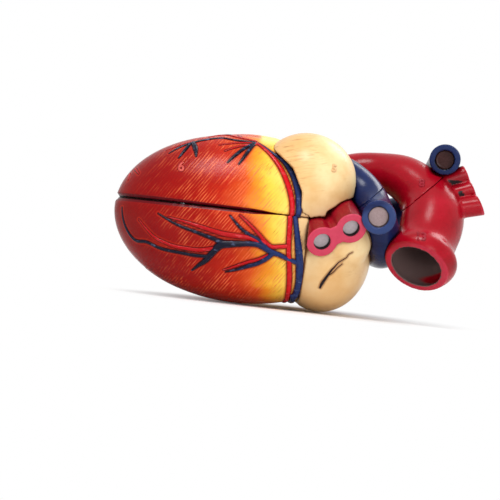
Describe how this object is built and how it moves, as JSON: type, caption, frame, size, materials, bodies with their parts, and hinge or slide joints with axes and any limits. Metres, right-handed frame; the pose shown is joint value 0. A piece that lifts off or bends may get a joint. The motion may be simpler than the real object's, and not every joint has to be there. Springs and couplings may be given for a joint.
{
  "type": "human heart anatomy model",
  "caption": "Life-size painted teaching model of a human heart with its great vessels, parting along a flat plane to show the chambers and valves.",
  "frame": {"origin": "centre of the overall bounding box in X and Y, on the plane the model lies on", "axes": "+X from the apex towards the head end of the great vessels, +Y towards the heart's own right side, +Z from its back to its front (sternal) surface"},
  "size_m": [0.1856, 0.1118, 0.0923],
  "materials": {
    "heart_muscle": "hand-painted gloss, crimson running to orange and yellow",
    "atrium_cream": "hand-painted gloss cream",
    "lung_vein_red": "gloss red with pink end faces and grey plug floors",
    "vessel_blue": "gloss navy",
    "vessel_crimson": "gloss crimson",
    "valve_cream": "gloss cream",
    "papillary_red": "gloss red-brown",
    "coronary_red": "gloss red",
    "coronary_blue": "gloss dark blue",
    "magnet_nickel": "nickel plate",
    "pin_steel": "bright steel"
  },
  "bodies": {
    "back_half": {"back_ventricle_wall": "heart_muscle", "left_atrium": "atrium_cream", "right_atrium": "atrium_cream", "left_pulmonary_veins": "lung_vein_red", "right_pulmonary_veins": "lung_vein_red", "left_pulmonary_artery": "vessel_blue", "right_pulmonary_artery": "vessel_blue", "inferior_vena_cava": "vessel_blue", "aortic_arch": "vessel_crimson", "brachiocephalic_artery": "vessel_crimson", "left_common_carotid_artery": "vessel_crimson", "left_subclavian_artery": "vessel_crimson", "mitral_valve": "valve_cream", "tricuspid_valve": "valve_cream", "papillary_muscles": "papillary_red", "chordae_tendineae": "valve_cream", "back_coronary_arteries": "coronary_red", "back_cardiac_veins": "coronary_blue", "back_magnets": "magnet_nickel", "locating_pins": "pin_steel"},
    "front_half": {"front_ventricle_wall": "heart_muscle", "left_auricle": "atrium_cream", "right_auricle": "atrium_cream", "pulmonary_trunk": "vessel_blue", "ascending_aorta": "vessel_crimson", "superior_vena_cava": "vessel_blue", "left_brachiocephalic_vein": "vessel_blue", "right_brachiocephalic_vein": "vessel_blue", "pulmonary_valve": "valve_cream", "aortic_valve": "valve_cream", "front_coronary_arteries": "coronary_red", "front_cardiac_veins": "coronary_blue", "front_magnets": "magnet_nickel"}
  },
  "joints": [
    {"name": "front_half_lift", "type": "slide", "parent": "back_half", "child": "front_half", "axis": [0, 0, 1], "range_m": [0, 0.06]}
  ]
}
